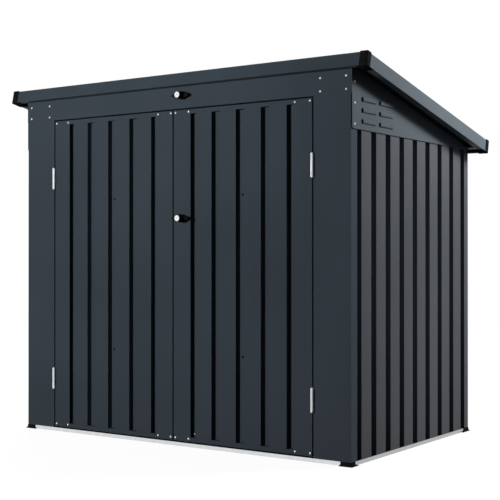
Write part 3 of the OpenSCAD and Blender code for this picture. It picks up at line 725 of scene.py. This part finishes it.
class BINSTORE_OT_hinge_details(PieceOperator, bpy.types.Operator):
    """Head the hinge pins and rivet the hinge leaves"""

    bl_idname = "bin_store.hinge_details"
    bl_label = "Hinge details"

    def build(self, scene):
        m = scene.bin_store_metalwork
        foot, top = low("post_hinges").z, high("post_hinges").z
        middles = (foot + m.hinge_length / 2, top - m.hinge_length / 2)
        rows = [z + step * m.leaf_rivet_pitch for z in middles for step in (-1, 0, 1)]
        behind = low("header_panel").y + m.leaf_rivet_in
        ends, post_places = [], []
        for side, sign in (("left", -1), ("right", 1)):
            axis = joint_place("door_%s_swing" % side)
            for z in middles:
                ends += [(Vector((axis.x, axis.y, z + way.z * m.hinge_length / 2)), way)
                         for way in (UP, DOWN)]
            outward = Vector((sign, 0, 0))
            door_leaf = axis.x - sign * m.hinge_gap / 2
            post_leaf = axis.x + sign * m.hinge_gap / 2
            post_places += [(Vector((post_leaf, behind, z)), -outward) for z in rows]
            rivets = copies(rivet_pattern(m.leaf_rivet, LEAF_RIVET_HEIGHT),
                            [(Vector((door_leaf, behind, z)), outward) for z in rows])
            finish(rivets, "door_%s_hinge_rivets" % side, "door_" + side, "zinc_hardware")
        rivets = copies(rivet_pattern(m.leaf_rivet, LEAF_RIVET_HEIGHT), post_places)
        finish(rivets, "post_hinge_rivets", "cabinet", "zinc_hardware")
        finish(copies(pin_head_pattern(m.pin_head), ends), "hinge_pin_heads", "cabinet", "zinc_hardware")


class BINSTORE_OT_lock_nuts(PieceOperator, bpy.types.Operator):
    """Hold each lock's cam with a nut and washer"""

    bl_idname = "bin_store.lock_nuts"
    bl_label = "Lock nuts"

    def build(self, scene):
        for body in ("door_lock", "lid_lock"):
            axis = joint_place(body + "_turn")
            place = Vector((axis.x, high(body + "_cam").y, axis.z))
            piece = copies(nut_pattern(scene.bin_store_metalwork.lock_nut), [(place, REAR)])
            finish(piece, body + "_nut", body, "zinc_hardware")


def draw_in(piece, reach):
    """Draws a grip's right arm in along X, from its round foot outwards, until it reaches that far."""
    bpy.ops.object.mode_set(mode="OBJECT")
    ends = [v.co.x for v in piece.data.vertices]
    root, tip = (min(ends) + max(ends)) / 2 + GRIP_FOOT, max(ends)
    bpy.ops.object.mode_set(mode="EDIT")
    share = (reach - GRIP_FOOT) / (tip - root)
    pick(piece, "verts", lambda v: v.co.x > root)
    bpy.ops.transform.resize(value=(share, 1, 1), center_override=(root, 0, 0))


class BINSTORE_OT_mouldings(PieceOperator, bpy.types.Operator):
    """Round the edges of the roof caps, feet and lock grips"""

    bl_idname = "bin_store.mouldings"
    bl_label = "Moulded plastic"

    def build(self, scene):
        width = scene.bin_store_metalwork.moulding_edge
        for node, body in MOULDINGS.items():
            piece = bpy.data.objects.new(node + "_moulding", frame["nodes"][node].data.copy())
            scene.collection.objects.link(piece)
            edit(piece)
            bpy.ops.mesh.select_all(action="SELECT")
            bpy.ops.mesh.remove_doubles(threshold=WELD)
            bpy.ops.mesh.dissolve_limited(angle_limit=FLAT_ANGLE)
            if node.endswith("_grip"):
                draw_in(piece, scene.bin_store_metalwork.grip_reach)
            only(piece)
            edge = piece.modifiers.new("edges", "BEVEL")
            edge.width = width
            edge.segments = 2
            edge.limit_method = "ANGLE"
            edge.angle_limit = SHARP_ANGLE
            bpy.ops.object.modifier_apply(modifier=edge.name)
            finish(piece, node + "_moulding", body, "black_plastic")
            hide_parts(node)


class BINSTORE_OT_stage(PieceOperator, bpy.types.Operator):
    """Set up the floor, the light and the camera"""

    bl_idname = "bin_store.stage"
    bl_label = "Studio"

    def build(self, scene):
        s = scene.bin_store_studio
        floor()
        sky(scene, s.sky)
        for name, lamp in LAMPS.items():
            soft_light(name, getattr(s, name), **lamp)
        camera(scene, s)
        scene.view_settings.view_transform = "Standard"


def background_rays(tree):
    """1 where a ray shows the background: straight on, in a reflection or through glass."""
    path = tree.nodes.new("ShaderNodeLightPath")
    total = path.outputs["Is Camera Ray"]
    for kind in ("Is Glossy Ray", "Is Transmission Ray"):
        node = tree.nodes.new("ShaderNodeMath")
        node.operation = "MAXIMUM"
        tree.links.new(total, node.inputs[0])
        tree.links.new(path.outputs[kind], node.inputs[1])
        total = node.outputs[0]
    return total


def sky(scene, strength):
    """Even light from all round, behind a white background."""
    world = bpy.data.worlds.new("studio")
    world.use_nodes = True
    scene.world = world
    tree = world.node_tree
    tree.nodes.clear()
    light = tree.nodes.new("ShaderNodeBackground")
    light.inputs["Color"].default_value = WHITE
    light.inputs["Strength"].default_value = strength
    white = tree.nodes.new("ShaderNodeBackground")
    white.inputs["Color"].default_value = WHITE
    mix = tree.nodes.new("ShaderNodeMixShader")
    out = tree.nodes.new("ShaderNodeOutputWorld")
    tree.links.new(background_rays(tree), mix.inputs[0])
    tree.links.new(light.outputs[0], mix.inputs[1])
    tree.links.new(white.outputs[0], mix.inputs[2])
    tree.links.new(mix.outputs[0], out.inputs["Surface"])


def floor():
    """A pale floor that shows white but keeps the store's shadow."""
    deselect()
    bpy.ops.mesh.primitive_plane_add(size=FLOOR_BREADTH, location=(0, 0, 0))
    plane = bpy.context.object
    plane.name = "studio_floor"
    material = bpy.data.materials.new("studio_floor")
    material.use_nodes = True
    tree = material.node_tree
    shader = tree.nodes["Principled BSDF"]
    shader.inputs["Base Color"].default_value = FLOOR_GREY
    shader.inputs["Roughness"].default_value = FLOOR_ROUGHNESS
    shader.inputs["Specular IOR Level"].default_value = 0
    shader.inputs["Emission Color"].default_value = WHITE
    place = tree.nodes.new("ShaderNodeTexCoord")
    reach = tree.nodes.new("ShaderNodeVectorMath")
    reach.operation = "LENGTH"
    tree.links.new(place.outputs["Object"], reach.inputs[0])
    glow = tree.nodes.new("ShaderNodeMapRange")
    for socket, value in GLOW.items():
        glow.inputs[socket].default_value = value
    tree.links.new(reach.outputs["Value"], glow.inputs["Value"])
    strength = tree.nodes.new("ShaderNodeMath")
    strength.operation = "MULTIPLY"
    tree.links.new(background_rays(tree), strength.inputs[0])
    tree.links.new(glow.outputs["Result"], strength.inputs[1])
    tree.links.new(strength.outputs[0], shader.inputs["Emission Strength"])
    plane.data.materials.append(material)


def soft_light(name, power, size, place, target, beam=180, colour=(1, 1, 1)):
    """A round soft lamp that is aimed at a target and shows in no reflection."""
    light = bpy.data.lights.new(name, "AREA")
    light.color = colour
    light.shape = "DISK"
    light.size = size
    light.energy = power
    light.spread = math.radians(beam)
    lamp = bpy.data.objects.new(name, light)
    bpy.context.scene.collection.objects.link(lamp)
    lamp.location = place
    lamp.rotation_mode = "QUATERNION"
    lamp.rotation_quaternion = (Vector(target) - Vector(place)).to_track_quat("-Z", "Y")
    lamp.visible_glossy = False


def camera(scene, s):
    """A nearly level camera in front of the store, on its right."""
    data = bpy.data.cameras.new("camera")
    data.lens = s.lens
    data.sensor_width = SENSOR_WIDTH
    data.clip_start = CLIP_START
    data.clip_end = CLIP_END
    stand = bpy.data.objects.new("camera", data)
    scene.collection.objects.link(stand)
    stand.location = s.camera_place
    stand.rotation_euler = (math.pi / 2 + s.camera_tilt, 0, s.camera_turn)
    scene.camera = stand


class BINSTORE_PT_panel(bpy.types.Panel):
    """Builds the bin store's pieces one by one"""

    bl_idname = "BINSTORE_PT_panel"
    bl_label = "Bin Store"
    bl_space_type = "VIEW_3D"
    bl_region_type = "UI"
    bl_category = "Bin Store"

    def draw(self, context):
        for operator in OPERATORS:
            self.layout.operator(operator.bl_idname)
        for group in (context.scene.bin_store_finishes, context.scene.bin_store_metalwork,
                      context.scene.bin_store_studio):
            box = self.layout.box()
            for name in group.bl_rna.properties.keys():
                if name not in ("rna_type", "name"):
                    box.prop(group, name)


GROUPS = (BinStoreFinishes, BinStoreMetalwork, BinStoreStudio)
OPERATORS = (BINSTORE_OT_finishes, BINSTORE_OT_post_rivets, BINSTORE_OT_door_rivets,
             BINSTORE_OT_gable_rivets, BINSTORE_OT_brace_screws, BINSTORE_OT_sheet_rivet,
             BINSTORE_OT_hinge_details, BINSTORE_OT_lock_nuts, BINSTORE_OT_mouldings, BINSTORE_OT_stage)


def register():
    for cls in (*GROUPS, *OPERATORS, BINSTORE_PT_panel):
        bpy.utils.register_class(cls)
    bpy.types.Scene.bin_store_finishes = bpy.props.PointerProperty(type=BinStoreFinishes)
    bpy.types.Scene.bin_store_metalwork = bpy.props.PointerProperty(type=BinStoreMetalwork)
    bpy.types.Scene.bin_store_studio = bpy.props.PointerProperty(type=BinStoreStudio)


def unregister():
    del bpy.types.Scene.bin_store_studio
    del bpy.types.Scene.bin_store_metalwork
    del bpy.types.Scene.bin_store_finishes
    for cls in reversed((*GROUPS, *OPERATORS, BINSTORE_PT_panel)):
        bpy.utils.unregister_class(cls)


def main():
    register()
    bpy.ops.bin_store.finishes()
    bpy.ops.bin_store.post_rivets()
    bpy.ops.bin_store.door_rivets()
    bpy.ops.bin_store.gable_rivets()
    bpy.ops.bin_store.brace_screws()
    bpy.ops.bin_store.sheet_rivet()
    bpy.ops.bin_store.hinge_details()
    bpy.ops.bin_store.lock_nuts()
    bpy.ops.bin_store.mouldings()
    bpy.ops.bin_store.stage()


if __name__ == "__main__":
    main()
